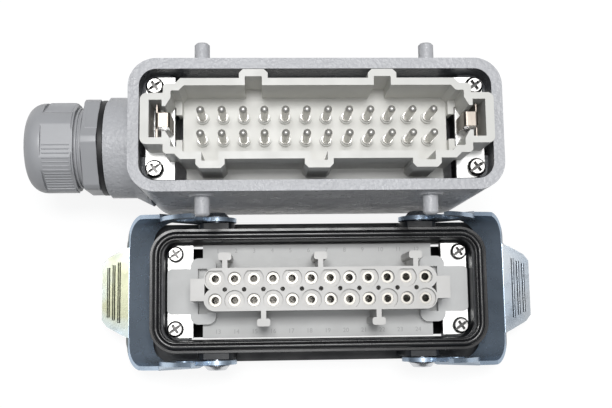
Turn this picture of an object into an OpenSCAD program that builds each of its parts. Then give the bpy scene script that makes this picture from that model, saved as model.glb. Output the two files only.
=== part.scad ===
// Heavy duty rectangular connector, both halves: a bulkhead housing with a socket
// insert and two locking levers, and a side-entry hood with a pin insert and a gland.
// The origin is the centre of the panel screw pattern, in the panel plane. +Z leaves
// the panel. The hood lies behind the housing on its closed end, with its rim up.

/* [Inserts] */
// Number of contacts in a row
columns = 12; // [8:1:12]
// Distance between contacts in a row
pitch = 6.7; // [6.5:0.1:6.8]
// Distance between the two rows
row_gap = 7.5; // [7:0.1:7.8]
// Length of an insert beyond its last contacts
end_l = 18.15; // [17.65:0.5:19.15]
// Width of an insert beyond its rows of contacts
side_w = 13.25; // [12.75:0.25:13.75]
// Distance of the fixing screws from an insert's end
fix_end = 3; // [2.8:0.1:3.2]
// Distance of the fixing screws from an insert's long side
fix_side = 3.5; // [3.3:0.1:3.8]
// Depth of an insert's earth plates below the rim
seat_depth = 8.5; // [8:0.1:9]
// Thickness of an earth plate
plate_t = 1.5; // [1.2:0.1:1.8]
// Height of the socket block above the housing's rim
block_rise = 8; // [7:0.1:8.5]
// Height of the shroud above the hood's rim
shroud_rise = 8; // [7:0.1:8.2]
// Depth of the shroud's cavity
cavity_depth = 17; // [16.5:0.1:18]
// Wall thickness of the shroud
shroud_wall = 2.3; // [2:0.1:2.6]
// Diameter of a contact pin
pin_d = 2.5; // [2:0.1:2.7]
// Height of a pin above the cavity floor
pin_h = 13.5; // [11:0.5:14]

/* [Rim shared by both halves] */
// Wall thickness of hood and housing
wall = 3.5; // [3:0.1:3.6]
// Room between the hood's walls and the ends of an insert
room_end = 1.5; // [1.3:0.1:2]
// Room between the hood's walls and the long sides of an insert
room_side = 1; // [0.8:0.1:1.5]
// Corner radius of the mating rim
rim_r = 9; // [8:0.5:11]

/* [Housing] */
// Height of the housing above the panel
housing_h = 28; // [27:0.5:32]
// Reach of the flange beyond the housing's ends
flange_end = 11.5; // [11:0.5:15]
// Reach of the flange beyond the housing's long sides
flange_side = 4; // [3.5:0.5:7]
// Thickness of the flange
flange_t = 3.5; // [3:0.1:3.9]
// Thickness of the seal under the flange
panel_seal_t = 1.5; // [1:0.1:1.8]
// Distance of the panel screws from the flange's ends
panel_end = 7; // [6:0.5:7.5]
// Distance of the panel screws from the flange's long sides
panel_side = 10; // [8:0.5:11]
// Diameter of the panel screw holes
panel_hole_d = 5.5; // [4.5:0.1:6]
// Height of the rim seal's crown above the metal rim
crown_h = 1.2; // [0.8:0.1:1.6]

/* [Levers] */
// Depth of a lever's pivot below the housing's rim
pivot_depth = 6; // [5.5:0.1:6.5]
// Diameter of a pivot rivet's shank
rivet_d = 5; // [4.5:0.1:5.5]
// Sheet thickness of a lever
lever_t = 1.5; // [1.3:0.1:1.7]
// Distance from the pivot to the inside of a lever's web, when locked
web_reach = 25; // [24:0.5:28]
// Gap between a locked lever's web and the housing's end wall
web_gap = 1.5; // [1.2:0.1:2.5]
// Height of a lever's web
web_h = 10.5; // [9:0.5:12]
// Length of a lever's handle
handle_l = 9.5; // [8:0.5:12]
// Angle from the open lever to the locked one
lever_swing = 48; // [46:1:48]

/* [Hood] */
// Height of the hood
hood_h = 70; // [68:1:78]
// Place of the hood's middle along X
hood_x = -2.5; // [-10:0.5:10]
// Gap between the hood's wall and the pivot rivets beside it
hood_gap = 1.4; // [1:0.1:6]
// Diameter of a locking peg
peg_d = 5; // [4.5:0.1:5.2]
// Depth of the locking pegs below the hood's rim
peg_depth = 8; // [7.5:0.1:8.5]
// Reach of a locking peg from the hood's wall
peg_l = 7; // [6:0.2:7.2]

/* [Cable gland] */
// Height of the gland's axis above the hood's closed end
gland_z = 30; // [26:1:32]
// Diameter of the gland's thread
thread_d = 25; // [24:0.5:26]
// Thickness of the hood's entry boss round the thread
boss_wall = 5.5; // [4.5:0.5:6]
// Reach of the entry boss from the end wall
boss_l = 12; // [8:0.5:16]
// Thickness of the gland's hexagon round the thread, at its flats
hex_wall = 3.5; // [3:0.5:4]
// Thickness of the gland's hexagon along its axis
hex_t = 5.5; // [4:0.5:7]
// Length of the dome nut
nut_l = 17.5; // [16:0.5:20]
// Thickness of the sealing ring round the cable
ring_wall = 3.15; // [2.5:0.05:4]

/* [Hidden] */
$fn = 48;

// Clearances
run = 0.06;        // radial, where a lever turns on its rivet
fit = 0.05;        // radial, where a contact or screw sits in its hole
seat = 0.3;        // between parts that only come near each other
edge = 0.01;       // lets a cut run past the face it opens
peg_play = 0.4;    // radial, round a peg in a lever's slot

// Insert and rim, outside
contact_span = (columns - 1) * pitch;
insert_l = contact_span + 2 * end_l;
insert_w = row_gap + 2 * side_w;
fix_dx = insert_l - 2 * fix_end;              // between fixing screws
fix_dy = insert_w - 2 * fix_side;
rim_l = insert_l + 2 * (room_end + wall);
rim_w = insert_w + 2 * (room_side + wall);

// Housing levels, from the panel up
flange_top = panel_seal_t + flange_t;
seal_t = 1.4;                                 // flat part of the rim seal
rim_top = housing_h - seal_t;                 // metal under the rim seal
socket_plate_top = housing_h - seat_depth;
socket_plate_low = socket_plate_top - plate_t;
plinth_drop = 1;                              // base's face below the earth plates
socket_face = socket_plate_low - plinth_drop;
socket_low = 3;                               // underside of the socket base
block_top = housing_h + block_rise;

// Housing outline
body_l = rim_l + 1;
body_w = rim_w + 1;
flange_l = body_l + 2 * flange_end;
flange_w = body_w + 2 * flange_side;
panel_dx = flange_l - 2 * panel_end;          // between panel screws
panel_dy = flange_w - 2 * panel_side;
pivot_x = body_l / 2 + web_gap - web_reach;
pivot_z = housing_h - pivot_depth;
pocket_l = insert_l + 1.2;
pocket_w = insert_w + 1.6;
pocket_r = 5;
pivot_boss_d = 13;
pivot_boss_y = body_w / 2 + 2.4;              // face that a lever's arm runs on

// Hood levels, from the closed end up
rivet_head = [9.5, 6.5, 1.8];                 // diameters and height
rivet_head_y = pivot_boss_y + lever_t + 2 * seat;
hood_y = rivet_head_y + rivet_head[2] + hood_gap + rim_w / 2;
pin_plate_top = hood_h - seat_depth + 2;
pin_plate_low = pin_plate_top - plate_t;
shroud_top = hood_h + shroud_rise;
floor_z = shroud_top - cavity_depth;
pin_face = floor_z - 3;                       // base's face, below the shroud's floor
pin_base_low = pin_face - 17;
hood_edge_r = 5;                              // rounding of the closed end

// Insert outline
plinth_l = contact_span + 11;                 // base between the earth plates
plate_l = (insert_l - plinth_l) / 2 - 3.3;    // an earth plate's length
block_w = row_gap + 7.5;
lobe_r = (block_w - row_gap) / 2 + 0.25;
rib_l = block_w / 2 + 5.4;                    // coding ribs' reach from the middle
rib_head = [4.6, 2.7];
rib_stem = 1.8;
ribs_back = [for (i = [-1, 0, 1]) i * (columns / 2 - 1) * pitch];
ribs_front = [for (i = [-1, 1]) i * columns / 4 * pitch];
rib_play = 0.35;
shroud_w = block_w + 2 * (2.9 + shroud_wall);
shroud_l = contact_span + 15.3;               // shroud's wide part
shroud_corner = 1.8;                          // its corners' chamfer
shroud_end = insert_l / 2 - plate_l;          // end of its cavity, from the middle
shroud_end_w = shroud_w - 3.4;                // narrower part at each end
end_floor_t = 1;                              // floor of that part
ear_w = 16;                                   // width of a shroud's earth pocket
ear_slot = [4, 11.8];                         // opening of that pocket
slot_neck = 7.8;                              // passage of the earth strap

// Contacts
socket_d = 4.2;
socket_bore_d = pin_d + 0.1;
barrel_d = 5.2;                               // screw terminal end of a contact
wire_d = 3.2;
term_screw_d = 3;
fix_screw_d = 4;
fix_head_d = 5.9;
fix_head_h = 2.6;

// Levers, in the plane of a side plate: u outward and w up from the pivot, locked
arm_in = pivot_boss_y + seat;                 // inner face of the pivot plates
joggle = 1.8;                                 // step out to the web's side plates
arm_out = arm_in + joggle;
peg_w = housing_h + crown_h / 2 + peg_depth - pivot_z;
web_low = 10;
bend_r = 9;                                   // outside radius of the side bends
slot_w = peg_d + 2 * peg_play;
hook_r = peg_w + slot_w / 2 + 3.2;
handle_tilt = 40;                             // handle's lean from upright, locked
handle_base = 33;
handle_tip = 20;

// Gland, and its levels along -X from the hood's middle
boss_d = thread_d + 2 * boss_wall;
hex_af = thread_d + 2 * hex_wall;
nut_d = hex_af;                               // over the nut's corners
boss_face = rim_l / 2 + boss_l;
washer_t = 2;
hex_in = boss_face + washer_t;
hex_out = hex_in + hex_t;
collar_l = 3;                                 // bare neck between hexagon and nut
nut_in = hex_out + collar_l;
nut_out = nut_in + nut_l;
neck_d = thread_d + 2.4;                      // upper thread, which the nut runs on
gland_bore = thread_d - 5.5;
seal_d = gland_bore - 0.2;
cable_d = seal_d - 2 * ring_wall;
dome_d = nut_d - 7;
mouth_d = cable_d + 3.5;

// ---------- outlines ----------

// A rectangle with round corners, about the origin
module round_rect(l, w, r) {
  square([l - 2 * r, w], center = true);
  square([l, w - 2 * r], center = true);
  for (x = [-1, 1], y = [-1, 1])
    translate([x * (l / 2 - r), y * (w / 2 - r)]) circle(r);
}

// A rectangle with chamfered corners, about the origin
module chamfer_rect(l, w, c) {
  x = l / 2;
  y = w / 2;
  polygon([
    [x, y - c], [x - c, y], [c - x, y], [-x, y - c],
    [-x, c - y], [c - x, -y], [x - c, -y], [x, c - y]
  ]);
}

// A profile swept round a rectangle with round corners. The profile's x is
// measured outward from the corners' centres and its y is height.
module sweep_rect(l, w, r) {
  for (s = [0, 180]) rotate([0, 0, s]) {
    translate([l / 2 - r, w / 2 - r, 0]) rotate([90, 0, 0])
      linear_extrude(w - 2 * r) children();
    translate([-l / 2 + r, w / 2 - r, 0]) rotate([90, 0, 90])
      linear_extrude(l - 2 * r) children();
    translate([l / 2 - r, w / 2 - r, 0]) rotate_extrude(angle = 90) children();
    translate([-l / 2 + r, w / 2 - r, 0]) rotate([0, 0, 90])
      rotate_extrude(angle = 90) children();
  }
}

module at_fixings(z) for (x = [-1, 1], y = [-1, 1])
  translate([x * fix_dx / 2, y * fix_dy / 2, z]) children();

module at_contacts(z) for (i = [0:columns - 1], y = [-1, 1])
  translate([(i - (columns - 1) / 2) * pitch, y * row_gap / 2, z]) children();

module in_hood() translate([hood_x, hood_y, 0]) children();

// ---------- housing ----------

// Where the open lever's web comes lowest, from the pivot: its outer lower edge
open_u = (web_reach + lever_t) * cos(lever_swing) + web_low * sin(lever_swing);
open_w = -(web_reach + lever_t) * sin(lever_swing) + web_low * cos(lever_swing);

module housing_outside() {
  translate([0, 0, panel_seal_t]) linear_extrude(flange_t) round_rect(flange_l, flange_w, 8);
  translate([0, 0, panel_seal_t]) linear_extrude(rim_top - panel_seal_t)
    round_rect(body_l, body_w, rim_r + 0.5);
  for (x = [-1, 1], y = [-1, 1]) translate([x * pivot_x, y * pivot_boss_y, 0]) {
    translate([0, 0, pivot_z]) rotate([y * 90, 0, 0])
      cylinder(d = pivot_boss_d, h = pivot_boss_y - body_w / 2 + 1);
    // Foot of the boss, down to the flange
    translate([-pivot_boss_d / 2, y > 0 ? body_w / 2 - 1 - pivot_boss_y : 0, flange_top - 1])
      cube([pivot_boss_d, pivot_boss_y - body_w / 2 + 1, pivot_z - flange_top + 1]);
  }
  // Stops that the open levers lie on
  for (x = [-1, 1]) translate([x * (pivot_x + open_u - 0.5), 0, flange_top - 1])
    translate([-2.5, -6, 0]) cube([5, 12, pivot_z + open_w - seat - flange_top + 1]);
}

module fixing_boss(low, top, reach_x, reach_y) {
  translate([-4.8, -4.3, low]) cube([4.8 + reach_x, 4.3 + reach_y, top - low]);
}

module four_fixing_bosses(low, top, inside_l, inside_w)
  for (x = [0, 1], y = [0, 1]) mirror([x, 0, 0]) mirror([0, y, 0])
    translate([fix_dx / 2, fix_dy / 2, 0])
      fixing_boss(low, top, (inside_l - fix_dx) / 2 + 1, (inside_w - fix_dy) / 2 + 1);

module panel_holes(top) for (x = [-1, 1], y = [-1, 1])
  translate([x * panel_dx / 2, y * panel_dy / 2, -edge]) cylinder(d = panel_hole_d, h = top + 2 * edge);

module housing_body() color("#454b52") difference() {
  union() {
    difference() {
      housing_outside();
      translate([0, 0, -1]) linear_extrude(housing_h + 2) round_rect(pocket_l, pocket_w, pocket_r);
    }
    four_fixing_bosses(flange_top + 2, socket_plate_low, pocket_l, pocket_w);
  }
  panel_holes(flange_top);
  // The pivot bosses end level with the rim under its seal
  translate([0, 0, rim_top]) linear_extrude(housing_h) square([2 * body_l, 2 * body_w], center = true);
  at_fixings(flange_top) cylinder(d = fix_screw_d + 2 * fit, h = housing_h);
  for (x = [-1, 1]) translate([x * pivot_x, 0, pivot_z]) rotate([90, 0, 0])
    cylinder(d = rivet_d + 2 * fit, h = 3 * rim_w, center = true);
}

module panel_seal() color("#1c1d1f") difference() {
  linear_extrude(panel_seal_t) difference() {
    round_rect(flange_l, flange_w, 8);
    round_rect(pocket_l, pocket_w, pocket_r);
  }
  panel_holes(panel_seal_t);
}

// Section of the rim seal: a flat foot, a round crown under the hood's rim, an inner lip
module rim_seal_section() {
  crown_r = 1.3;
  foot_in = rim_r + 0.5 - (body_w - pocket_w) / 2 + 0.1;
  crown_x = rim_r + 0.5 - (body_w - rim_w) / 2 - wall / 2;
  translate([foot_in, 0]) square([rim_r + 0.5 - foot_in, seal_t]);
  translate([crown_x, seal_t + crown_h - crown_r]) circle(crown_r);
  translate([foot_in + 0.5, seal_t]) circle(0.5);
}

module rim_seal() color("#17181a") translate([0, 0, rim_top])
  sweep_rect(body_l, body_w, rim_r + 0.5) rim_seal_section();

module pivot_rivet() {
  rotate([-90, 0, 0]) {
    translate([0, 0, pocket_w / 2 + 0.2]) cylinder(d = rivet_d, h = rivet_head_y - pocket_w / 2);
    translate([0, 0, rivet_head_y]) cylinder(d1 = rivet_head[0], d2 = rivet_head[1], h = rivet_head[2]);
  }
}

module pivot_rivets() color("#c9ccd0")
  for (x = [-1, 1], y = [0, 1]) mirror([0, y, 0]) translate([x * pivot_x, 0, pivot_z]) pivot_rivet();

// ---------- levers, locked, with the pivot at the origin ----------

web_top = web_low + web_h;
joggle_u = [8.5, 11.5];

// The bent sheet seen from above: pivot plates, joggles, side plates, round bends, web
module lever_plan() for (s = [0, 1]) mirror([0, s]) {
  bend_u = web_reach + lever_t - bend_r;
  bend_y = arm_out + lever_t - bend_r;
  translate([-hook_r, arm_in]) square([hook_r + joggle_u[0], lever_t]);
  polygon([
    [joggle_u[0], arm_in], [joggle_u[1], arm_out], [joggle_u[1], arm_out + lever_t],
    [joggle_u[0], arm_in + lever_t]
  ]);
  translate([joggle_u[1], arm_out]) square([bend_u - joggle_u[1], lever_t]);
  translate([bend_u, bend_y]) intersection() {
    difference() { circle(bend_r); circle(bend_r - lever_t); }
    square(bend_r);
  }
  translate([web_reach, 0]) square([lever_t, bend_y]);
}

// A wedge of a circle, from one angle to another
module sector(r, from, to) intersection() {
  circle(r);
  polygon(concat([[0, 0]], [for (i = [0:4]) 2 * r * [
    cos(from + (to - from) * i / 4), sin(from + (to - from) * i / 4)]]));
}

// The side plate's outline: pivot eye, hook with the peg's slot, and the arm to the web
module lever_side() difference() {
  union() {
    circle(7.2);
    sector(hook_r, 35, 116);
    polygon([
      [0, -7.2], [6, -5.2], [web_reach, web_low], [web_reach + lever_t, web_low],
      [web_reach + lever_t, web_top],
      [web_reach - 6, web_top], [hook_r * cos(50), hook_r * sin(50)], [0, 0]
    ]);
  }
  difference() {
    sector(peg_w + slot_w / 2, 90, 140);
    circle(peg_w - slot_w / 2);
  }
  translate([0, peg_w]) circle(d = slot_w);
  circle(d = rivet_d + 2 * run);
}

module lever_handle() translate([web_reach + lever_t / 2, 0, web_top]) {
  rotate([90, 0, 0]) cylinder(d = lever_t, h = handle_base, center = true);
  rotate([0, handle_tilt, 0]) {
    rotate([90, 0, -90]) linear_extrude(lever_t, center = true) polygon([
      [-handle_base / 2, 0], [-handle_base / 2 + 0.8, handle_l * 0.2],
      [-handle_tip / 2 - 2.4, handle_l - 1.8], [-handle_tip / 2, handle_l],
      [handle_tip / 2, handle_l], [handle_tip / 2 + 2.4, handle_l - 1.8],
      [handle_base / 2 - 0.8, handle_l * 0.2], [handle_base / 2, 0]
    ]);
    // Pressed grip ribs
    for (i = [1:3]) translate([-lever_t / 2, 0, handle_l * (0.16 + 0.2 * i)])
      rotate([90, 0, 0]) cylinder(d = 1.1, h = handle_tip + 4 - 2 * i, center = true);
  }
}

module lever() {
  intersection() {
    rotate([90, 0, 0]) linear_extrude(4 * rim_w, center = true) lever_side();
    translate([0, 0, -hook_r]) linear_extrude(3 * hook_r) lever_plan();
  }
  lever_handle();
}

module lever_right() color("#aab4bd") translate([pivot_x, 0, pivot_z]) rotate([0, lever_swing, 0]) lever();
module lever_left() color("#aab4bd") mirror([1, 0, 0]) translate([pivot_x, 0, pivot_z])
  rotate([0, lever_swing, 0]) lever();

// ---------- pieces that both inserts have ----------

// Pan-head screw with a cross and a slot, its head's seat at z = 0
module fixing_screw() difference() {
  union() {
    translate([0, 0, -9]) cylinder(d = fix_screw_d, h = 9 + edge);
    cylinder(d = fix_head_d, h = fix_head_h * 0.55);
    translate([0, 0, fix_head_h * 0.55])
      cylinder(d1 = fix_head_d, d2 = fix_head_d - 1.4, h = fix_head_h * 0.45);
  }
  for (a = [0, 90]) rotate([0, 0, a + 35]) translate([-1.8, -0.5, fix_head_h - 1.6]) cube([3.6, 1, 2]);
  rotate([0, 0, 35]) translate([-fix_head_d, -0.35, fix_head_h - 0.7]) cube([2 * fix_head_d, 0.7, 2]);
}

// End plate that the fixing screws hold, at the +X end, its underside at z = 0
module earth_plate() difference() {
  linear_extrude(plate_t) intersection() {
    round_rect(insert_l, insert_w - 0.4, 4);
    translate([insert_l / 2 - plate_l, -insert_w]) square([plate_l, 2 * insert_w]);
  }
  for (y = [-1, 1]) translate([fix_dx / 2, y * fix_dy / 2, -edge])
    cylinder(d = fix_screw_d + 4 * fit, h = plate_t + 2 * edge);
  translate([insert_l / 2 - plate_l / 2, 0, -edge])
    cylinder(d = fix_screw_d + 2 * fit, h = plate_t + 2 * edge);
}

// Earth terminal screw, in the middle of the plate and headed below it
module earth_screw() translate([insert_l / 2 - plate_l / 2, 0, 0]) difference() {
  union() {
    translate([0, 0, -6.5]) cylinder(d = fix_screw_d, h = 6.5 + plate_t - 0.1);
    translate([0, 0, -8.5]) cylinder(d = fix_head_d, h = 2.5);
  }
  translate([-fix_head_d, -0.5, -9.5]) cube([2 * fix_head_d, 1, 2]);
}

// Terminal screw of a contact, along +Y at the contact's wire bore
module terminal_screw() rotate([-90, 0, 0]) difference() {
  union() {
    translate([0, 0, wire_d / 2]) cylinder(d = term_screw_d - 2 * fit, h = 2.4);
    translate([0, 0, wire_d / 2 + 2.3]) cylinder(d = 3.8, h = 2.2);
  }
  translate([-3, -0.35, wire_d / 2 + 3.7]) cube([6, 0.7, 2]);
}

term_z = 5;      // terminal screws above the insert's underside
base_body_w = 22;
base_plate_t = 4;

// Wired half of an insert: a face plate over a narrower terminal body
module insert_base(low, face) difference() {
  union() {
    translate([-plinth_l / 2, -insert_w / 2, face - base_plate_t]) cube([plinth_l, insert_w, base_plate_t]);
    translate([-plinth_l / 2, -base_body_w / 2, low]) cube([plinth_l, base_body_w, face - low - edge]);
  }
  at_contacts(low - edge) cylinder(d = barrel_d + 2 * fit, h = face - low + 1);
  for (i = [0:columns - 1], s = [0, 1]) mirror([0, s, 0])
    translate([(i - (columns - 1) / 2) * pitch, row_gap / 2, low + term_z]) rotate([-90, 0, 0])
      cylinder(d = 3.8 + 2 * fit, h = base_body_w);
}

// Screw terminal of a contact, from its underside up
module terminal_barrel(h) difference() {
  cylinder(d = barrel_d, h = h);
  translate([0, 0, -edge]) cylinder(d = wire_d, h = 8.5);
}

module terminal_screws(low) color("#c4c6c8") for (i = [0:columns - 1], s = [0, 1]) mirror([0, s, 0])
  translate([(i - (columns - 1) / 2) * pitch, row_gap / 2, low + term_z]) terminal_screw();

// The cross hole that a terminal screw goes through
module terminal_hole(side) translate([0, 0, term_z]) rotate([-90 * side, 0, 0])
  cylinder(d = term_screw_d, h = barrel_d);

// ---------- socket insert ----------

tab_w = 16.4;                                // tongue over the earth plate
shoulder_w = 24;
shoulder_in = plinth_l / 2 - 5;
shoulder_out = insert_l / 2 - plate_l + 1;
tab_top = socket_plate_top + 1;
post_l = 4.9;                                // raised post beyond the socket block
post_w = 7.8;
post_in = contact_span / 2 + lobe_r - 0.3;
key_hole = [3.4, 4];                         // openings beside the post

module block_plan() {
  square([contact_span, block_w], center = true);
  for (x = [-1, 1], y = [-1, 1]) translate([x * contact_span / 2, y * (block_w / 2 - lobe_r)]) circle(lobe_r);
  for (x = [-1, 1]) translate([x * (post_in + post_l / 2), 0]) square([post_l, post_w], center = true);
}

// Coding rib: a stem with a wide head, outward along +Y
module coding_rib_plan() {
  translate([-rib_stem / 2, block_w / 2 - 1]) square([rib_stem, rib_l - block_w / 2]);
  translate([0, rib_l - rib_head[1] / 2]) round_rect(rib_head[0], rib_head[1], 0.8);
}

module coding_ribs_plan() {
  for (x = ribs_back) translate([x, 0]) coding_rib_plan();
  for (x = ribs_front) translate([x, 0]) mirror([0, 1]) coding_rib_plan();
}

function wide_mouth(i, y) = (i + (y > 0 ? 0 : 1)) % 2 == 0;

module socket_block() color("#d9d8d2") difference() {
  translate([0, 0, socket_face]) linear_extrude(block_top - socket_face) {
    block_plan();
    coding_ribs_plan();
  }
  at_contacts(socket_face - edge) cylinder(d = socket_d + 2 * fit, h = block_top);
  // Mouths: a wide one with a flat outer side at every other contact, a narrow one between
  for (i = [0:columns - 1], y = [-1, 1])
    translate([(i - (columns - 1) / 2) * pitch, y * row_gap / 2, block_top - 1.5])
      if (wide_mouth(i, y)) intersection() {
        cylinder(d = min(7, row_gap - 0.4), h = 2);
        translate([-5, y > 0 ? -5 : -2.8, 0]) cube([10, 7.8, 2]);
      } else cylinder(d = 4.8, h = 2);
  for (i = [0:columns - 2]) translate([(i - (columns - 2) / 2) * pitch, 0, block_top - 8])
    cylinder(d = 1.6, h = 9);
}

module socket_base() color("#b4b5b6") difference() {
  union() {
    insert_base(socket_low, socket_face);
    for (s = [0, 1]) mirror([s, 0, 0]) {
      translate([(shoulder_in + shoulder_out) / 2, 0, socket_face - edge])
        linear_extrude(tab_top - socket_face + edge)
          round_rect(shoulder_out - shoulder_in, shoulder_w, 3);
      translate([0, 0, socket_plate_top]) linear_extrude(tab_top - socket_plate_top) {
        translate([shoulder_out - 4, -tab_w / 2]) square([2, tab_w]);
        translate([(shoulder_out - 3 + insert_l / 2) / 2, 0])
          round_rect(insert_l / 2 - shoulder_out + 3, tab_w, 1.5);
      }
    }
  }
  // Seat of the block in the shoulders, room for the earth plates, and the key openings
  translate([0, 0, socket_face]) linear_extrude(housing_h) {
    square([contact_span + 2 * lobe_r, block_w + 0.4], center = true);
    for (x = [-1, 1]) translate([x * (post_in + post_l / 2 - 0.5), 0])
      square([post_l + 1.2, post_w + 0.2], center = true);
    for (x = [-1, 1], y = [-1, 1])
      translate([x * (post_in + key_hole[0] / 2), y * (post_w / 2 + 0.3 + key_hole[1] / 2)])
        square(key_hole, center = true);
    for (x = ribs_back) translate([x, rib_l / 2]) square([rib_head[0] + 0.2, rib_l + 0.4], center = true);
  }
  for (s = [-1, 1]) translate([s * (insert_l / 2), 0, socket_plate_low - 2])
    cube([2 * plate_l + 0.4, insert_w + 1, 2 * (plate_t + 2)], center = true);
}

module socket_contact(side) translate([0, 0, socket_low]) difference() {
  union() {
    terminal_barrel(socket_face - socket_low - 1);
    translate([0, 0, socket_face - socket_low - 2]) cylinder(d = socket_d, h = block_top - socket_face + 0.4);
  }
  translate([0, 0, block_top - socket_low - 16]) cylinder(d = socket_bore_d, h = 20);
  terminal_hole(side);
}

module socket_contacts() color("#cfcabb") for (i = [0:columns - 1], y = [-1, 1])
  translate([(i - (columns - 1) / 2) * pitch, y * row_gap / 2, 0]) socket_contact(y);

module socket_terminal_screws() terminal_screws(socket_low);
module socket_earth_plate_right() color("#dddcd8") translate([0, 0, socket_plate_low]) earth_plate();
module socket_earth_plate_left() mirror([1, 0, 0]) socket_earth_plate_right();
module socket_earth_screws() color("#c4c6c8") for (s = [0, 1]) mirror([s, 0, 0])
  translate([0, 0, socket_plate_low]) earth_screw();
module socket_fixing_screws() color("#c4c6c8") at_fixings(socket_plate_top) fixing_screw();

// ---------- hood, standing on its closed end ----------

hood_in_l = rim_l - 2 * wall;
hood_in_w = rim_w - 2 * wall;

// Quarter round of the closed end, in a corner's section
module end_round_section() intersection() {
  translate([rim_r - hood_edge_r, hood_edge_r]) circle(hood_edge_r);
  translate([rim_r - hood_edge_r, 0]) square(hood_edge_r);
}

module hood_outside() {
  translate([0, 0, hood_edge_r]) linear_extrude(hood_h - hood_edge_r) round_rect(rim_l, rim_w, rim_r);
  sweep_rect(rim_l, rim_w, rim_r) end_round_section();
  linear_extrude(hood_edge_r + 1)
    round_rect(rim_l - 2 * hood_edge_r, rim_w - 2 * hood_edge_r, rim_r - hood_edge_r);
  translate([-rim_l / 2 + wall, 0, gland_z]) rotate([0, -90, 0]) {
    cylinder(d = boss_d, h = boss_l + wall - 1);
    cylinder(d1 = boss_d, d2 = boss_d - 2, h = boss_l + wall);
    // Fillet-like foot of the boss
    cylinder(d1 = min(boss_d + 6, rim_w - 1), d2 = boss_d, h = wall + 2.5);
  }
}

module locking_peg() rotate([-90, 0, 0]) {
  translate([0, 0, -1]) cylinder(d1 = peg_d + 4.6, d2 = peg_d + 3, h = 1.8);
  cylinder(d = peg_d, h = peg_l - 0.6);
  translate([0, 0, peg_l - 0.6]) cylinder(d1 = peg_d, d2 = peg_d - 1.2, h = 0.6);
}

module hood_shell() color("#a9adb3") in_hood() difference() {
  union() {
    difference() {
      union() {
        hood_outside();
        for (x = [-1, 1], y = [0, 1]) mirror([0, y, 0])
          translate([x * pivot_x, rim_w / 2, hood_h - peg_depth]) locking_peg();
      }
      translate([0, 0, wall]) linear_extrude(hood_h) round_rect(hood_in_l, hood_in_w, rim_r - wall);
    }
    four_fixing_bosses(pin_plate_low - 14, pin_plate_low, hood_in_l, hood_in_w);
  }
  at_fixings(pin_plate_low - 12) cylinder(d = fix_screw_d + 2 * fit, h = hood_h);
  translate([-rim_l / 2 + wall + 1, 0, gland_z]) rotate([0, -90, 0])
    cylinder(d = thread_d + 2 * fit, h = boss_l + wall + 2);
}

// ---------- pin insert ----------

pocket_out = rib_l + rib_play + shroud_wall;
pocket_in_w = rib_head[0] + 2 * rib_play;

module pin_base() color("#b4b5b6") in_hood() insert_base(pin_base_low, pin_face);

cavity_l = shroud_l - shroud_wall - 0.3;      // wide part of the shroud's cavity
pin_boss_d = 4.2;                             // ring round each pin on the cavity's floor
pin_boss_h = 1.1;
pin_collar_d = 3.1;
pin_tip = floor_z + pin_h;
slot_mid = insert_l / 2 - 2.7 - ear_slot[0] / 2;

// The hood is turned over to mate, so its pockets are the ribs' mirror image
module shroud_pocket_plan(reach, w, c) {
  for (x = ribs_back) translate([x, -reach / 2]) chamfer_rect(w, reach, c);
  for (x = ribs_front) translate([x, reach / 2]) chamfer_rect(w, reach, c);
}

module shroud_plan() {
  chamfer_rect(shroud_l, shroud_w, shroud_corner);
  shroud_pocket_plan(pocket_out, pocket_in_w + 2 * (shroud_wall - 0.5), 1.2);
}

module shroud_cavity_plan() {
  chamfer_rect(cavity_l, shroud_w - 2 * shroud_wall, shroud_corner - 0.2);
  shroud_pocket_plan(rib_l + rib_play, pocket_in_w, 0.2);
}

// The shroud's narrower ends and their earth pockets, over the earth plates
module shroud_ends_plan() {
  chamfer_rect(2 * (shroud_end + shroud_wall), shroud_end_w, 0.8);
  for (s = [-1, 1]) translate([s * (insert_l / 2 + shroud_end) / 2, 0])
    round_rect(insert_l / 2 - shroud_end, ear_w, 2);
}

// Way of an earth strap from the cavity's end, at +X, narrowing towards the slot
module strap_way_plan() {
  wide = slot_neck / 2 + 2.6;
  polygon([
    [shroud_end - 0.5, -wide], [shroud_end, -wide], [shroud_end + 1.6, -slot_neck / 2],
    [slot_mid, -slot_neck / 2], [slot_mid, slot_neck / 2], [shroud_end + 1.6, slot_neck / 2],
    [shroud_end, wide], [shroud_end - 0.5, wide]
  ]);
  translate([slot_mid, 0]) square(ear_slot, center = true);
}

module pin_shroud() color("#e4e2d8") in_hood() difference() {
  union() {
    difference() {
      union() {
        translate([0, 0, pin_face]) linear_extrude(shroud_top - pin_face) shroud_plan();
        translate([0, 0, pin_plate_top]) linear_extrude(shroud_top - pin_plate_top) shroud_ends_plan();
      }
      translate([0, 0, floor_z]) linear_extrude(cavity_depth + 1) shroud_cavity_plan();
      translate([0, 0, pin_plate_top + end_floor_t]) linear_extrude(cavity_depth)
        chamfer_rect(2 * shroud_end, shroud_end_w - 2 * shroud_wall + 0.2, 0.3);
      for (s = [0, 1]) mirror([s, 0, 0]) translate([0, 0, pin_face - 1]) linear_extrude(shroud_top) {
        strap_way_plan();
        // Opening for the other half's post
        translate([cavity_l / 2 - edge, -post_w / 2 - 0.2])
          square([shroud_end - cavity_l / 2 + 2 * edge, post_w + 0.4]);
      }
    }
    at_contacts(floor_z - 1) cylinder(d = pin_boss_d, h = pin_boss_h + 1);
  }
  at_contacts(pin_face - edge) cylinder(d = pin_collar_d + 2 * fit, h = cavity_depth);
}

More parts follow.
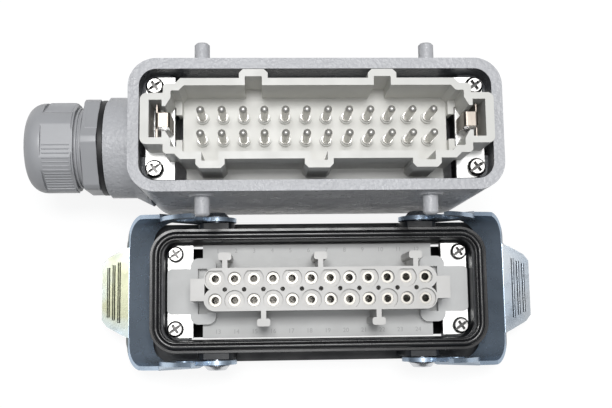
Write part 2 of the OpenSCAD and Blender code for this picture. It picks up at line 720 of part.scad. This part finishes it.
module pin_contact(side) translate([0, 0, pin_base_low]) difference() {
  union() {
    terminal_barrel(pin_face - pin_base_low - 1);
    translate([0, 0, pin_face - pin_base_low - 2]) cylinder(d = pin_collar_d, h = floor_z - pin_face + 2 + pin_boss_h + 0.6);
    translate([0, 0, floor_z - pin_base_low]) cylinder(d = pin_d, h = pin_h - pin_d / 2);
    translate([0, 0, pin_tip - pin_base_low - pin_d / 2]) sphere(d = pin_d);
  }
  terminal_hole(side);
}

module pin_contacts() color("#d8cfae") in_hood() for (i = [0:columns - 1], y = [-1, 1])
  translate([(i - (columns - 1) / 2) * pitch, y * row_gap / 2, 0]) pin_contact(y);

module pin_terminal_screws() in_hood() terminal_screws(pin_base_low);
module pin_earth_plate_right() color("#dddcd8") in_hood() translate([0, 0, pin_plate_low]) earth_plate();
module pin_earth_plate_left() color("#dddcd8") in_hood() mirror([1, 0, 0])
  translate([0, 0, pin_plate_low]) earth_plate();
module pin_earth_screws() color("#c4c6c8") in_hood() for (s = [0, 1]) mirror([s, 0, 0])
  translate([0, 0, pin_plate_low]) earth_screw();
module pin_fixing_screws() color("#c4c6c8") in_hood() at_fixings(pin_plate_top) fixing_screw();

// Earth strap: a wide leaf in the slot, and a narrow tongue that folds over from its
// top towards the cavity and down to the earth plate
spring_t = 0.5;
module earth_spring() {
  leaf_x = slot_mid - 0.3;
  leaf_w = ear_slot[1] - 1.2;
  tongue_w = slot_neck - 3.2;
  fold_x = shroud_end + 0.25;
  top = shroud_top - 2;
  translate([leaf_x, -leaf_w / 2, pin_plate_top]) {
    cube([spring_t, leaf_w, top - pin_plate_top - 2]);
    cube([slot_mid + ear_slot[0] / 2 - seat - leaf_x, leaf_w, spring_t]);
  }
  translate([0, tongue_w / 2, 0]) rotate([90, 0, 0]) linear_extrude(tongue_w) {
    translate([leaf_x, top - 4]) square([spring_t, 3]);
    translate([leaf_x - 1 + spring_t, top - 1]) intersection() {
      difference() { circle(1); circle(1 - spring_t); }
      square(1);
    }
    translate([fold_x + 1, top - spring_t]) square([leaf_x - 2 + spring_t - fold_x, spring_t]);
    translate([fold_x + 1, top - 1]) intersection() {
      difference() { circle(1); circle(1 - spring_t); }
      translate([-1, 0]) square(1);
    }
    translate([fold_x, pin_plate_top]) square([spring_t, top - 1 - pin_plate_top]);
  }
}

module earth_spring_right() color("#b3a68f") in_hood() earth_spring();
module earth_spring_left() color("#b3a68f") in_hood() mirror([1, 0, 0]) earth_spring();

// ---------- cable gland, along -X from the hood's middle ----------

body_end = nut_in + 8.5;
claw_d = neck_d - 2.4;
claw_end = body_end + 5;
claw_slots = 8;

module along_gland(from) in_hood() translate([0, 0, gland_z]) rotate([0, -90, 0])
  translate([0, 0, from]) children();

module gland_washer() color("#1b1c1e") along_gland(boss_face) difference() {
  cylinder(d = hex_af + 2, h = washer_t);
  translate([0, 0, -1]) cylinder(d = thread_d + 0.4, h = washer_t + 2);
}

module gland_body() color("#9fa3a8") difference() {
  union() {
    along_gland(rim_l / 2 - wall + 0.5) cylinder(d = thread_d, h = boss_l + wall + washer_t);
    along_gland(hex_in) intersection() {
      cylinder(d = hex_af / cos(30), h = hex_t, $fn = 6);
      cylinder(d = hex_af / cos(30) - 1.6, h = hex_t);
    }
    along_gland(hex_in) cylinder(d = neck_d, h = body_end - hex_in);
    // Rings on the bare neck
    for (i = [0, 1]) along_gland(hex_out + 0.5 + 1.4 * i) cylinder(d = neck_d + 1.4, h = 0.8);
  }
  along_gland(0) cylinder(d = gland_bore, h = body_end + 1);
}

// Clamping claw: a slotted ring between the body's mouth and the nut
module gland_claw() color("#b9bcc0") along_gland(body_end) difference() {
  union() {
    cylinder(d = claw_d, h = 1.5);
    translate([0, 0, 1.5]) cylinder(d1 = claw_d, d2 = claw_d - 1.6, h = claw_end - body_end - 1.5);
  }
  translate([0, 0, -1]) cylinder(d = gland_bore, h = claw_end);
  for (i = [0:claw_slots / 2 - 1]) rotate([0, 0, i * 360 / claw_slots])
    translate([-claw_d, -0.5, 1.5]) cube([2 * claw_d, 1, claw_end]);
}

module gland_seal() color("#232426") along_gland(nut_in + 1) difference() {
  cylinder(d = seal_d, h = claw_end - nut_in - 1.5);
  translate([0, 0, -1]) cylinder(d = cable_d, h = nut_l);
}

// Outline of the dome nut along its axis, from its open end
module nut_section() {
  dome_r = 6;
  translate([0, 0]) square([nut_d / 2 - 0.6, nut_l - dome_r]);
  translate([0, 0.6]) square([nut_d / 2, nut_l - dome_r - 0.6]);
  intersection() {
    translate([nut_d / 2 - dome_r, nut_l - dome_r]) circle(dome_r);
    translate([0, nut_l - dome_r - 1]) square([nut_d, dome_r + 1]);
  }
  translate([0, nut_l - dome_r]) square([nut_d / 2 - dome_r, dome_r]);
}

module gland_nut() color("#9fa3a8") along_gland(nut_in) difference() {
  rotate_extrude() nut_section();
  // Spanner flats, on the open end's two thirds
  for (i = [0:5]) rotate([0, 0, 60 * i])
    translate([nut_af / 2, -nut_d / 2, -1]) cube([nut_d, nut_d, nut_l * 0.62 + 1]);
  translate([0, 0, -1]) cylinder(d = neck_d + 2 * run, h = body_end - nut_in + 1 + seat);
  cylinder(d = claw_d + 2 * seat, h = claw_end - nut_in + seat);
  cylinder(d = mouth_d, h = nut_l + 1);
}

nut_af = nut_d - 2;

// ---------- nodes ----------

housing_body();
panel_seal();
rim_seal();
pivot_rivets();
lever_left();
lever_right();
socket_base();
socket_block();
socket_contacts();
socket_terminal_screws();
socket_earth_plate_left();
socket_earth_plate_right();
socket_earth_screws();
socket_fixing_screws();
hood_shell();
pin_base();
pin_shroud();
pin_contacts();
pin_terminal_screws();
pin_earth_plate_left();
pin_earth_plate_right();
pin_earth_screws();
earth_spring_left();
earth_spring_right();
pin_fixing_screws();
gland_washer();
gland_body();
gland_claw();
gland_seal();
gland_nut();
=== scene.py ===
import math

import bmesh
import bpy
from mathutils import Matrix, Vector


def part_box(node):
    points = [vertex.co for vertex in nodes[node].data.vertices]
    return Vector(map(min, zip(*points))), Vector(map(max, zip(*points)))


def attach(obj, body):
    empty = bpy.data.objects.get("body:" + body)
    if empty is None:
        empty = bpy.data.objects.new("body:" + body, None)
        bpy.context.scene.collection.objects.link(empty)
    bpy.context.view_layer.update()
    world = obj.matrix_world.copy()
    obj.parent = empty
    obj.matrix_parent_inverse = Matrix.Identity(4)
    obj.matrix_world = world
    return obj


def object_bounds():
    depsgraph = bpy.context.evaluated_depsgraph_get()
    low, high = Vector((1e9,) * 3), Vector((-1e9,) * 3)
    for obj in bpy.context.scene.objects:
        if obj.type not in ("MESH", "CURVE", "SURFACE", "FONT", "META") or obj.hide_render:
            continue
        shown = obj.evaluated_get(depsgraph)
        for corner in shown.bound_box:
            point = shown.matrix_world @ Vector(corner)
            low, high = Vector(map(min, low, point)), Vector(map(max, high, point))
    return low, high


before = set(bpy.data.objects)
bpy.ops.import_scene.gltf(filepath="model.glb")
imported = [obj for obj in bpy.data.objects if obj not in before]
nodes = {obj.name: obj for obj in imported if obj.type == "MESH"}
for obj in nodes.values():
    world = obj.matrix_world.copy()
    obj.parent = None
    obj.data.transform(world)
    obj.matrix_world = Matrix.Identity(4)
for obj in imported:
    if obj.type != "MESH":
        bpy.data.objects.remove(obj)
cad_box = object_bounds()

MM = 0.001
scene = bpy.context.scene

IMAGE_WIDTH = 612  # pixels
FOCAL_LENGTH = 898.9  # pixels
SENSOR_WIDTH = 36  # mm
CAMERA_PLACE = (-19.2, -10.5, 350.1)  # mm
CAMERA_TURN = (7.32, -2.51, -0.8)  # degrees about X, then Y, then Z

FLOOR_HALF = 12.0  # m
FLOOR_DROP = 0.0002  # m, from the part's lowest point
FLOOR_GREY = (0.16, 0.16, 0.16)
# Painted shade: the floor under the housing is near black and does not glow
FLOOR_SHADE_GREY = (0.02, 0.02, 0.02)
FLOOR_GLOW = 0.88  # with the lamps' light on the grey it adds up to white

PAINT_SPECULAR = 0.3
HANDLE_REACH = 9.6 * MM  # how far a lever's handle reaches in from the end of its box
HOOD_ROOM = 2.8 * MM  # from the fixing screws' heads to beyond the hood's inner wall
# Painted shade on the hood's inside: from this height up to just below the rim
SHADE_FLOOR = 4 * MM
SHADE_BELOW_RIM = 0.3 * MM
HEAD_DEPTH = 0.45 * MM  # a fixing screw is painted dark from here down: painted shade in its recess and on its flank


# ---------- shader nodes ----------

def base_material(name, rough, metallic, specular=0.5):
    mat = bpy.data.materials.new(name)
    mat.use_nodes = True
    shader = mat.node_tree.nodes["Principled BSDF"]
    shader.inputs["Roughness"].default_value = rough
    shader.inputs["Metallic"].default_value = metallic
    shader.inputs["Specular IOR Level"].default_value = specular
    return mat, mat.node_tree, shader


def calculate(tree, operation, a, b):
    """A Math node; a and b are outputs or plain numbers."""
    node = tree.nodes.new("ShaderNodeMath")
    node.operation = operation
    for socket, value in zip(node.inputs, (a, b)):
        if isinstance(value, (int, float)):
            socket.default_value = value
        else:
            tree.links.new(value, socket)
    return node.outputs[0]


def inside(tree, low, high):
    """1 within a box given in the object's own metres, 0 outside."""
    where = tree.nodes.new("ShaderNodeTexCoord")
    split = tree.nodes.new("ShaderNodeSeparateXYZ")
    tree.links.new(where.outputs["Object"], split.inputs[0])
    result = 1.0
    for axis in range(3):
        if low[axis] is None:
            continue
        off = calculate(tree, "SUBTRACT", split.outputs[axis], (low[axis] + high[axis]) / 2)
        near = calculate(tree, "LESS_THAN", calculate(tree, "ABSOLUTE", off, 0.0),
                         (high[axis] - low[axis]) / 2)
        result = calculate(tree, "MULTIPLY", result, near)
    return result


def two_tone(tree, mask, a, b):
    """a where mask is 0 and b where it is 1; each is a colour or an output."""
    mix = tree.nodes.new("ShaderNodeMix")
    mix.data_type = "RGBA"
    tree.links.new(mask, mix.inputs["Factor"])
    for socket, value in ((mix.inputs["A"], a), (mix.inputs["B"], b)):
        if isinstance(value, tuple):
            socket.default_value = (*value, 1)
        else:
            tree.links.new(value, socket)
    return mix.outputs["Result"]


def coords(tree, scale=(1, 1, 1)):
    """The object's own coordinates in metres, stretched by scale."""
    where = tree.nodes.new("ShaderNodeTexCoord")
    mapping = tree.nodes.new("ShaderNodeMapping")
    mapping.inputs["Scale"].default_value = scale
    tree.links.new(where.outputs["Object"], mapping.inputs["Vector"])
    return mapping.outputs["Vector"]


def noise(tree, vector, scale, detail, rough=0.5):
    node = tree.nodes.new("ShaderNodeTexNoise")
    node.inputs["Scale"].default_value = scale
    node.inputs["Detail"].default_value = detail
    node.inputs["Roughness"].default_value = rough
    tree.links.new(vector, node.inputs["Vector"])
    return node.outputs["Fac"]


def colours(tree, factor, stops):
    """A colour ramp over factor; stops are pairs of a place and a colour."""
    ramp = tree.nodes.new("ShaderNodeValToRGB")
    elements = ramp.color_ramp.elements
    while len(elements) < len(stops):
        elements.new(0.5)
    for element, (place, colour) in zip(elements, stops):
        element.position = place
        element.color = (*colour, 1)
    tree.links.new(factor, ramp.inputs["Fac"])
    return ramp.outputs["Color"]


def spread(tree, factor, low, high):
    """The middle of a noise's range brought to low ... high."""
    node = tree.nodes.new("ShaderNodeMapRange")
    node.inputs["From Min"].default_value = 0.3
    node.inputs["From Max"].default_value = 0.7
    node.inputs["To Min"].default_value = low
    node.inputs["To Max"].default_value = high
    tree.links.new(factor, node.inputs["Value"])
    return node.outputs["Result"]


def bump(tree, shader, height, strength, depth):
    node = tree.nodes.new("ShaderNodeBump")
    node.inputs["Strength"].default_value = strength
    node.inputs["Distance"].default_value = depth
    tree.links.new(height, node.inputs["Height"])
    tree.links.new(node.outputs["Normal"], shader.inputs["Normal"])


def tint(colour, by):
    return tuple(min(1.0, c * by) for c in colour)


# ---------- camera, lights, floor ----------

camera_data = bpy.data.cameras.new("camera")
camera = bpy.data.objects.new("camera", camera_data)
scene.collection.objects.link(camera)
scene.camera = camera
camera_data.sensor_width = SENSOR_WIDTH
camera_data.lens = FOCAL_LENGTH / IMAGE_WIDTH * SENSOR_WIDTH
camera_data.clip_start = 0.01
camera_data.clip_end = 20
about_x_axis, about_y_axis, about_z_axis = (
    Matrix.Rotation(math.radians(angle), 3, axis) for angle, axis in zip(CAMERA_TURN, "XYZ"))
turn = about_z_axis @ about_y_axis @ about_x_axis
camera.matrix_world = Matrix.Translation(Vector(CAMERA_PLACE) * MM) @ turn.to_4x4()


def area_light(name, place, aim, size, power):
    """A rectangular lamp at place, in metres, that shines at aim."""
    data = bpy.data.lights.new(name, "AREA")
    data.shape = "RECTANGLE"
    data.size, data.size_y = size
    data.energy = power
    lamp = bpy.data.objects.new(name, data)
    scene.collection.objects.link(lamp)
    lamp.location = place
    lamp.rotation_euler = (Vector(aim) - Vector(place)).to_track_quat("-Z", "Y").to_euler()


middle = (Vector(cad_box[0]) + Vector(cad_box[1])) / 2
area_light("key", (-0.02, 0.21, 1.15), middle, (0.42, 0.24), 7.2)
area_light("fill", (0.0, -0.1, 1.15), middle, (0.2, 0.2), 0.7)


def world_light():
    """Bright overhead and dark towards the horizon, so that metal has something to show."""
    world = bpy.data.worlds.new("studio")
    scene.world = world
    world.use_nodes = True
    tree = world.node_tree
    soft = tree.nodes["Background"]
    coord = tree.nodes.new("ShaderNodeTexCoord")
    split = tree.nodes.new("ShaderNodeSeparateXYZ")
    tree.links.new(coord.outputs["Generated"], split.inputs[0])
    sky = colours(tree, split.outputs["Z"], [
        (0.0, (0.03, 0.035, 0.04)), (0.5, (0.07, 0.08, 0.095)), (0.8, (0.30, 0.315, 0.335)),
        (1.0, (0.95, 0.95, 0.95))])
    tree.links.new(sky, soft.inputs["Color"])


def floor_stage():
    """White to the camera and in reflections, dark grey to everything else, with painted shade
    under the housing: there the floor is near black and does not glow."""
    mesh = bpy.data.meshes.new("floor")
    low = cad_box[0][2] - FLOOR_DROP
    corners = [(x * FLOOR_HALF, y * FLOOR_HALF, low)
               for x, y in ((-1, -1), (1, -1), (1, 1), (-1, 1))]
    mesh.from_pydata(corners, [], [(0, 1, 2, 3)])
    floor = bpy.data.objects.new("floor", mesh)
    scene.collection.objects.link(floor)
    mat = bpy.data.materials.new("floor_white_and_painted_shade")
    mat.use_nodes = True
    tree = mat.node_tree
    shader = tree.nodes["Principled BSDF"]
    shader.inputs["Roughness"].default_value = 0.9
    shader.inputs["Specular IOR Level"].default_value = 0.1
    insert_low, insert_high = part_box("socket_base")
    # painted shade on the floor under the housing: near black there, and no glow
    floor_shade_mask = inside(tree, (insert_low.x, insert_low.y, None), (insert_high.x, insert_high.y, None))
    tree.links.new(two_tone(tree, floor_shade_mask, FLOOR_GREY, FLOOR_SHADE_GREY), shader.inputs["Base Color"])
    path = tree.nodes.new("ShaderNodeLightPath")
    seen_by = calculate(tree, "ADD", path.outputs["Is Camera Ray"], path.outputs["Is Glossy Ray"])
    seen_by = calculate(tree, "MINIMUM",
                        calculate(tree, "ADD", seen_by, path.outputs["Is Transmission Ray"]), 1.0)
    level = calculate(tree, "MULTIPLY", seen_by, calculate(tree, "SUBTRACT", 1.0, floor_shade_mask))
    glow = tree.nodes.new("ShaderNodeEmission")
    glow.inputs["Color"].default_value = (1, 1, 1, 1)
    tree.links.new(calculate(tree, "MULTIPLY", level, FLOOR_GLOW), glow.inputs["Strength"])
    add = tree.nodes.new("ShaderNodeAddShader")
    tree.links.new(shader.outputs[0], add.inputs[0])
    tree.links.new(glow.outputs[0], add.inputs[1])
    tree.links.new(add.outputs[0], tree.nodes["Material Output"].inputs["Surface"])
    mesh.materials.append(mat)


# ---------- materials ----------

def moulded(name, colour, rough=0.45, vary=0.05, grain=700, depth=0.00002, strength=0.35,
            painted_shade=None, specular=0.5):
    """Plastic, rubber or paint: faint mottling, a fine surface and uneven gloss. A dark colour with
    its box, if given, is painted within that box as painted shade."""
    mat, tree, shader = base_material(name, rough, 0, specular)
    where = coords(tree)
    cloud = noise(tree, where, 90, 4)
    paint = colours(tree, cloud, [(0.3, tint(colour, 1 - vary)), (0.7, tint(colour, 1 + vary))])
    if painted_shade:
        paint = two_tone(tree, inside(tree, painted_shade[1], painted_shade[2]), paint, painted_shade[0])
    tree.links.new(paint, shader.inputs["Base Color"])
    tree.links.new(spread(tree, noise(tree, where, 160, 2), rough - 0.05, rough + 0.06),
                   shader.inputs["Roughness"])
    bump(tree, shader, noise(tree, where, grain, 2), strength, depth)
    return mat


def worked_metal(name, colour, rough=0.25, vary=0.08, scale=(1, 1, 1), shade_below=None, metallic=1):
    """Metal with a drawn or turned grain, stretched by the mapping's scale. Below a given level
    it is painted dark: painted shade in a screw's recess and on its flank."""
    mat, tree, shader = base_material(name, rough, metallic)
    where = coords(tree, scale)
    lines = noise(tree, where, 900, 4, 0.6)
    metal = colours(tree, lines, [(0.25, tint(colour, 1 - vary)), (0.75, tint(colour, 1 + vary))])
    # Painted shade: below the given level the colour is darkened to 0.12 of itself
    if shade_below:
        low = inside(tree, (None, None, -1), (None, None, shade_below))
        metal = two_tone(tree, low, metal, tint(colour, 0.12))
    tree.links.new(metal, shader.inputs["Base Color"])
    tree.links.new(spread(tree, lines, rough - 0.06, rough + 0.08), shader.inputs["Roughness"])
    bump(tree, shader, lines, 0.3, 0.00001)
    return mat


def zinc(name, body, straw, handle):
    """Blue passivated zinc, with soft clouds of steel blue, and of straw within the box handle."""
    mat, tree, shader = base_material(name, 0.26, 0.72)
    where = coords(tree)
    cloud = noise(tree, where, 38, 3)
    blue = colours(tree, cloud, [(0.3, tint(body, 0.84)), (0.7, tint(body, 1.16))])
    tinted = colours(tree, cloud, [(0.35, tint(body, 0.55)), (0.6, straw)])
    tree.links.new(two_tone(tree, inside(tree, *handle), blue, tinted), shader.inputs["Base Color"])
    tree.links.new(spread(tree, noise(tree, where, 200, 3), 0.22, 0.34), shader.inputs["Roughness"])
    bump(tree, shader, noise(tree, where, 500, 2), 0.12, 0.00001)
    return mat


# Painted shade on the hood's inside, up to just below its rim, in a box from the screws that fit it
screws_low, screws_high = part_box("pin_fixing_screws")
hood_inside_shade_box = ((screws_low.x - HOOD_ROOM, screws_low.y - HOOD_ROOM, SHADE_FLOOR),
               (screws_high.x + HOOD_ROOM, screws_high.y + HOOD_ROOM,
                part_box("hood_shell")[1].z - SHADE_BELOW_RIM))


def handle_at(lever, side):
    """The end of a lever's box that its handle takes up."""
    low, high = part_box(lever)
    x = low.x if side < 0 else high.x
    return (x - HANDLE_REACH, None, None), (x + HANDLE_REACH, None, None)


looks = {
    "housing_body": moulded("dark_casting", (0.013, 0.015, 0.019), 0.36, 0.15, 1100, 0.00006, 0.5,
                            specular=PAINT_SPECULAR),
    "panel_seal": moulded("panel_rubber", (0.016, 0.016, 0.017), 0.6),
    "rim_seal": moulded("seal_rubber", (0.010, 0.010, 0.011), 0.24, 0.2, 500, 0.00001, 0.2),
    "pivot_rivets": worked_metal("rivet_steel", (0.62, 0.63, 0.65), 0.28),
    # The left lever's body is a lighter blue than the right's: a painted reflection on the same
    # zinc
    "lever_left": zinc("zinc_straw_painted_reflection", (0.52, 0.63, 0.76), (0.19, 0.195, 0.135),
                       handle_at("lever_left", -1)),
    "lever_right": zinc("zinc_plate", (0.38, 0.47, 0.58), (0.27, 0.29, 0.31),
                        handle_at("lever_right", 1)),
    "socket_base": moulded("base_grey", (0.60, 0.605, 0.60), 0.5),
    "socket_block": moulded("block_grey", (0.64, 0.63, 0.61), 0.42, 0.03),
    "socket_contacts": worked_metal("socket_metal", (0.27, 0.26, 0.24), 0.36, 0.25),
    "socket_terminal_screws": worked_metal("screw_steel", (0.60, 0.60, 0.60), 0.28, 0.1),
    "socket_earth_plate_left": worked_metal("plate_steel", (0.90, 0.90, 0.885), 0.38, 0.04,
                                            (1, 0.12, 1), metallic=0.7),
    # Inside the hood the paint is darkened to a dark grey as painted shade
    "hood_shell": moulded("hood_paint", (0.54, 0.545, 0.565), 0.3, 0.05, 800, 0.0005, 0.8,
                          painted_shade=((0.10, 0.105, 0.115), *hood_inside_shade_box),
                          specular=PAINT_SPECULAR),
    "pin_base": moulded("base_grey_hood", (0.72, 0.72, 0.70), 0.5),
    "pin_shroud": moulded("shroud_white", (0.70, 0.695, 0.66), 0.42, 0.03),
    "pin_contacts": worked_metal("pin_metal", (0.62, 0.605, 0.57), 0.34, 0.05, metallic=0.7),
    "earth_spring_left": worked_metal("strap_bronze", (0.27, 0.24, 0.21), 0.34, 0.14, (1, 0.2, 1)),
    "gland_washer": moulded("washer_rubber", (0.013, 0.013, 0.014), 0.5),
    "gland_body": moulded("gland_nylon", (0.43, 0.435, 0.45), 0.35, 0.04, 500, 0.00002, 0.25),
    "gland_claw": moulded("claw_nylon", (0.42, 0.43, 0.44), 0.4),
}
looks["gland_seal"] = looks["gland_washer"]
looks["gland_nut"] = looks["gland_body"]
looks["earth_spring_right"] = looks["earth_spring_left"]
for name in ("socket_earth_plate_right", "pin_earth_plate_left", "pin_earth_plate_right"):
    looks[name] = looks["socket_earth_plate_left"]
for name in ("pin_terminal_screws", "socket_earth_screws", "pin_earth_screws"):
    looks[name] = looks["socket_terminal_screws"]
# The fixing screws carry painted shade below the tops of their heads
for name in ("socket_fixing_screws", "pin_fixing_screws"):
    looks[name] = worked_metal(name + "_steel", (0.52, 0.51, 0.50), 0.3, 0.1,
                               shade_below=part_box(name)[1].z - HEAD_DEPTH)

# How wide each node's edges are broken, in millimetres
edges = {
    "housing_body": 0.5, "panel_seal": 0.3, "rim_seal": 0.2, "pivot_rivets": 0.3,
    "lever_left": 0.25, "lever_right": 0.25, "socket_base": 0.18, "socket_block": 0.2,
    "hood_shell": 0.6, "pin_base": 0.2, "pin_shroud": 0.3, "gland_washer": 0.3,
    "gland_body": 0.25, "gland_nut": 0.35, "gland_claw": 0.15,
    "socket_earth_plate_left": 0.15, "socket_earth_plate_right": 0.15,
    "pin_earth_plate_left": 0.15, "pin_earth_plate_right": 0.15,
    "earth_spring_left": 0.08, "earth_spring_right": 0.08,
}


def dress(node, mat, width):
    """Gives a node its material and breaks its edges to width millimetres."""
    obj = nodes[node]
    for slot in obj.material_slots:
        slot.material = mat
    if not obj.material_slots:
        obj.data.materials.append(mat)
    if not width:
        return
    weld = obj.modifiers.new("weld", "WELD")
    weld.merge_threshold = 0.000002
    flat = obj.modifiers.new("flat_faces", "DECIMATE")
    flat.decimate_type = "DISSOLVE"
    flat.angle_limit = math.radians(0.6)
    edge = obj.modifiers.new("edge", "BEVEL")
    edge.width = width * MM
    edge.segments = 2
    edge.limit_method = "ANGLE"
    edge.angle_limit = math.radians(38)
    edge.use_clamp_overlap = True
    edge.harden_normals = False
    shade = obj.modifiers.new("shading", "WEIGHTED_NORMAL")
    shade.keep_sharp = False
    shade.weight = 60


for node, mat in looks.items():
    dress(node, mat, edges.get(node))

world_light()
floor_stage()


# ---------- details ----------

def piece(name, bm, mat, body):
    """Makes bm into a piece that rides body."""
    bmesh.ops.recalc_face_normals(bm, faces=bm.faces)
    mesh = bpy.data.meshes.new(name)
    bm.to_mesh(mesh)
    bm.free()
    mesh.materials.append(mat)
    obj = bpy.data.objects.new(name, mesh)
    scene.collection.objects.link(obj)
    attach(obj, body)


def skin(bm, rings):
    """Closed rings of points, one after another, with both ends capped."""
    made = [[bm.verts.new(p) for p in ring] for ring in rings]
    for a, b in zip(made, made[1:]):
        for i in range(len(a)):
            j = (i + 1) % len(a)
            bm.faces.new((a[i], a[j], b[j], b[i]))
    bm.faces.new(made[0][::-1])
    bm.faces.new(made[-1])


def about_x(centre, angle, radius, x, aside):
    """A point at radius from an axis along X, angle degrees from upright towards +Y."""
    a = math.radians(angle)
    out = Vector((0, math.sin(a), math.cos(a)))
    side = Vector((0, math.cos(a), -math.sin(a)))
    return Vector((x, centre.y, centre.z)) + out * radius + side * aside


nut_low, nut_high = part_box("gland_nut")
nut_centre = (nut_low + nut_high) / 2
nut_radius = (nut_high.y - nut_low.y) / 2


NUT_FLAT = nut_radius - 1 * MM
RIB_START = nut_high.x - 0.8 * MM
RIB_END = nut_high.x - 10.6 * MM
RIB_TAPER = 0.5 * MM
RIB_SECTION = [(-0.30, -0.3), (-0.20, 0.14), (0, 0.26), (0.20, 0.14), (0.30, -0.3)]  # mm
RIBS = 14
RIB_STEP = 5.4  # degrees
FIRST_RIB = -76  # degrees from upright
STRETCHES = 3


def grip_ribs():
    """Fine ribs on three stretches of the nut, over its flats and its rounds."""
    bm = bmesh.new()
    stations = ((RIB_START, 0.0), (RIB_START - RIB_TAPER, 1.0), (RIB_END + RIB_TAPER, 1.0),
                (RIB_END, 0.0))
    for stretch in range(STRETCHES):
        for i in range(RIBS):
            angle = 360 / STRETCHES * stretch + FIRST_RIB + RIB_STEP * i
            off = math.radians((angle + 30) % 60 - 30)
            surface = min(nut_radius, NUT_FLAT / math.cos(off))
            rings = []
            for x, rise in stations:
                sunk = 0.1 * (1 - rise)
                rings.append([
                    about_x(nut_centre, angle, surface + (h * rise - sunk) * MM, x, w * MM)
                    for w, h in RIB_SECTION])
            skin(bm, rings)
    return bm


piece("gland_nut_ribs", grip_ribs(), looks["gland_nut"], "gland_nut")


PANEL_OUT = nut_high.x + 4.2 * MM
PANEL_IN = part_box("gland_washer")[0].x + 0.05 * MM
PANEL_HALF = 4.6 * MM
PANEL_ANGLE = 30  # degrees from upright: the middle of a flat
PANEL_EDGE = [(0.0, -0.2), (0.0, 0.1), (0.15, 0.22)]  # mm in from the outline, and up from the flat


def hexagon_panel():
    """The raised size panel on one face of the gland's hexagon."""
    bm = bmesh.new()
    rings = []
    for inset, rise in PANEL_EDGE:
        out, half = PANEL_OUT + inset * MM, PANEL_HALF - inset * MM
        rings.append([about_x(nut_centre, PANEL_ANGLE, nut_radius + rise * MM, x, w)
                      for x, w in ((out, -half), (PANEL_IN, -half), (PANEL_IN, half), (out, half))])
    skin(bm, rings)
    return bm


piece("gland_size_panel", hexagon_panel(), looks["gland_body"], "connector")


COLUMNS = 12
SOCKET_WIDTH = 5.2 * MM
NUMBER_SIZE = 2.3 * MM
NUMBER_RISE = 0.05 * MM
NUMBER_INSET = 2.2 * MM  # from the base's edge to the numbers' middle


def contact_numbers():
    """Position numbers beside both rows of sockets, raised a little from the base."""
    sockets_low, sockets_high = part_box("socket_contacts")
    pitch = (sockets_high.x - sockets_low.x - SOCKET_WIDTH) / (COLUMNS - 1)
    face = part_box("socket_block")[0].z
    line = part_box("socket_base")[1].y - NUMBER_INSET
    bm = bmesh.new()
    for row, side in ((0, 1), (1, -1)):
        for i in range(COLUMNS):
            font = bpy.data.curves.new("number", "FONT")
            font.body = str(1 + i + COLUMNS * row)
            font.size = NUMBER_SIZE
            font.extrude = NUMBER_RISE
            font.align_x = font.align_y = "CENTER"
            font.resolution_u = 3
            text = bpy.data.objects.new("number", font)
            mesh = bpy.data.meshes.new_from_object(text)
            mesh.transform(Matrix.Translation(((i - (COLUMNS - 1) / 2) * pitch, line * side, face)))
            bm.from_mesh(mesh)
            bpy.data.objects.remove(text)
            bpy.data.meshes.remove(mesh)
    return bm


piece("socket_numbers", contact_numbers(), moulded("number_grey", (0.40, 0.40, 0.40), 0.5),
      "connector")

scene.view_settings.view_transform = "Standard"
